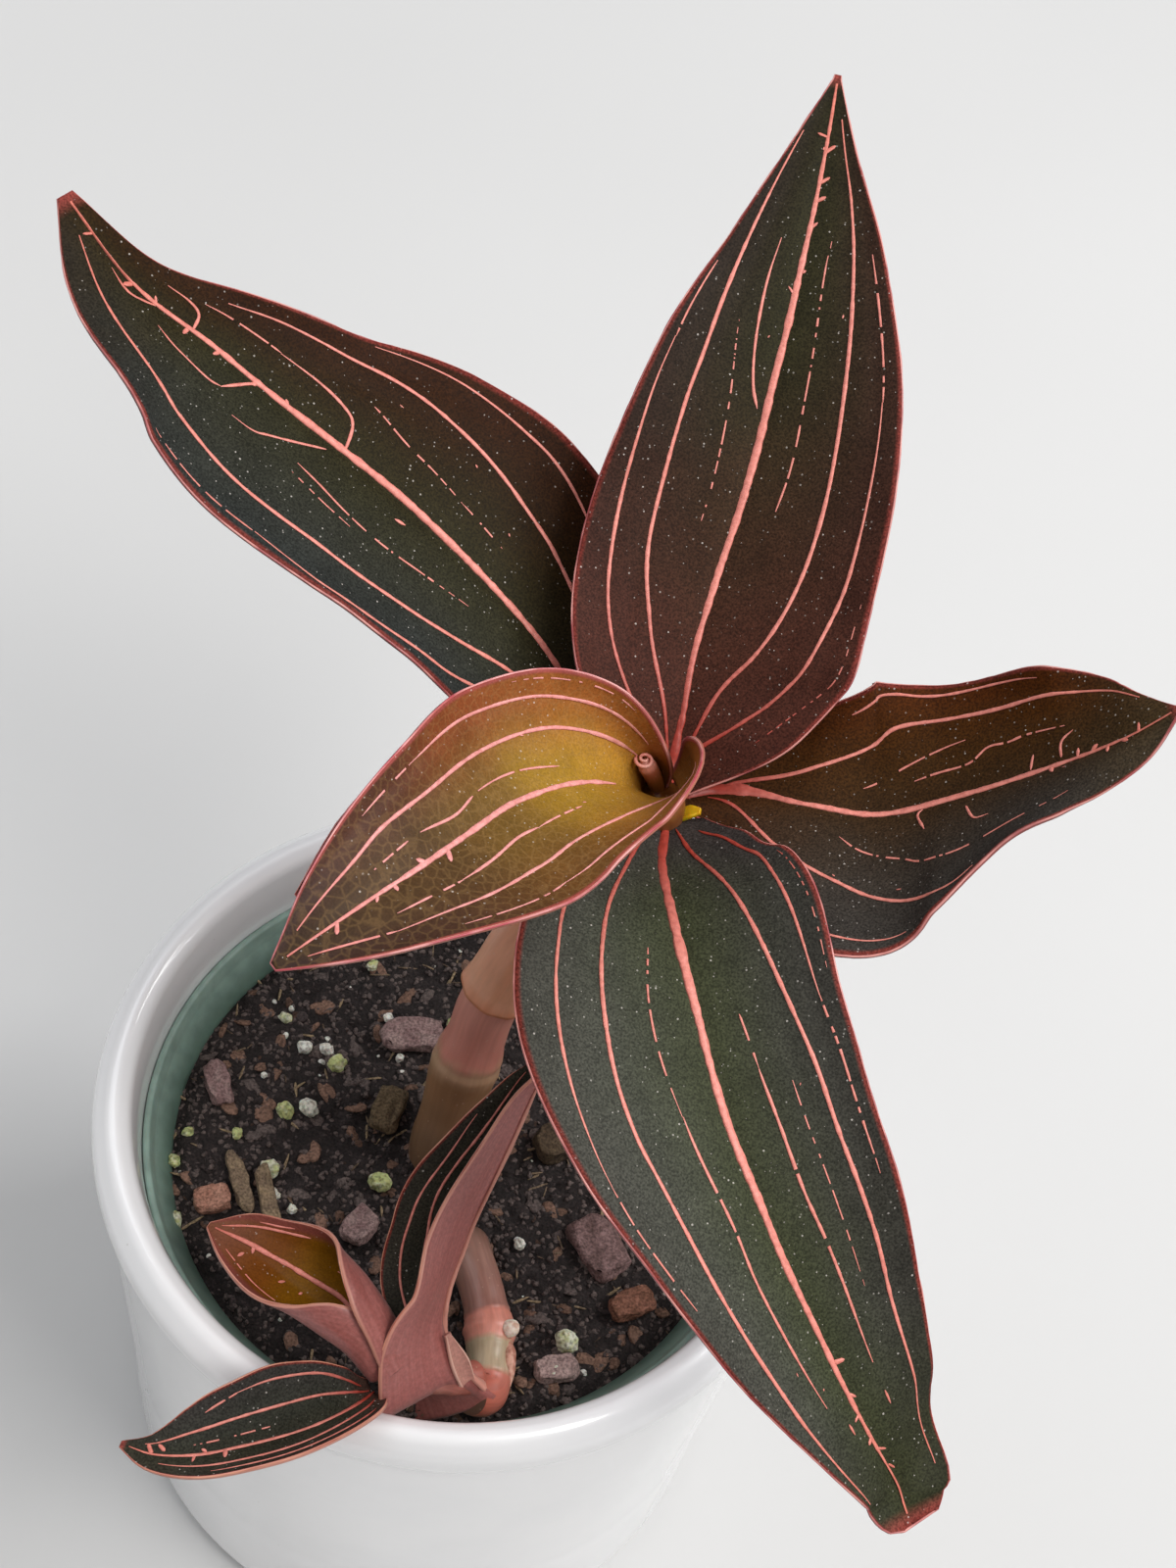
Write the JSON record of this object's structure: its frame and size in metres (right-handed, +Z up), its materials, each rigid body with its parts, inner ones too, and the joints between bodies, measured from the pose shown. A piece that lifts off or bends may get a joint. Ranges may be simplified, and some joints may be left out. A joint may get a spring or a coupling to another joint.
{
  "type": "jewel orchid",
  "caption": "Jewel orchid with dark velvety pink-veined leaves on a leaning stem, with a side shoot, in a green nursery pot inside a white glazed cachepot.",
  "frame": {"origin": "middle of the cachepot's flat foot, on the surface that it stands on", "axes": "+Z up along the pot's axis; -Y towards the side that the small shoot grows on; +X towards the side that the main stem leans to"},
  "size_m": [0.1534, 0.1792, 0.207],
  "materials": {
    "white_glaze": "gloss",
    "green_plastic": "satin",
    "potting_mix": "matte",
    "bark": "matte",
    "wood_sliver": "matte",
    "stem_skin": "satin",
    "sheath_skin": "satin",
    "rhizome_skin": "satin",
    "shoot_skin": "satin",
    "root_skin": "satin",
    "dark_leaf": "satin",
    "young_leaf": "satin",
    "yellow_bract": "satin"
  },
  "bodies": {
    "root": {"outer_pot": "white_glaze", "nursery_pot": "green_plastic", "potting_mix": "potting_mix", "main_stem": "stem_skin", "stem_sheath": "sheath_skin", "new_leaf_roll": "young_leaf", "rhizome": "rhizome_skin", "shoot_base": "shoot_skin", "aerial_root": "root_skin", "root_scale": "root_skin", "leaf_top": "dark_leaf", "leaf_upper_left": "dark_leaf", "leaf_right": "dark_leaf", "leaf_lower": "dark_leaf", "leaf_behind": "dark_leaf", "shoot_leaf_over_rim": "dark_leaf", "shoot_leaf_upright": "dark_leaf", "leaf_young": "young_leaf", "shoot_leaf_rolled": "young_leaf", "shoot_bract": "shoot_skin", "yellow_bract": "yellow_bract", "bark_chip_1": "bark", "bark_chip_2": "bark", "bark_chip_3": "bark", "bark_chip_4": "bark", "bark_chip_5": "bark", "bark_chip_6": "bark", "bark_chip_7": "bark", "bark_chip_8": "bark", "bark_chip_9": "bark", "bark_chip_10": "bark", "wood_sliver_1": "wood_sliver", "wood_sliver_2": "wood_sliver"}
  },
  "joints": []
}
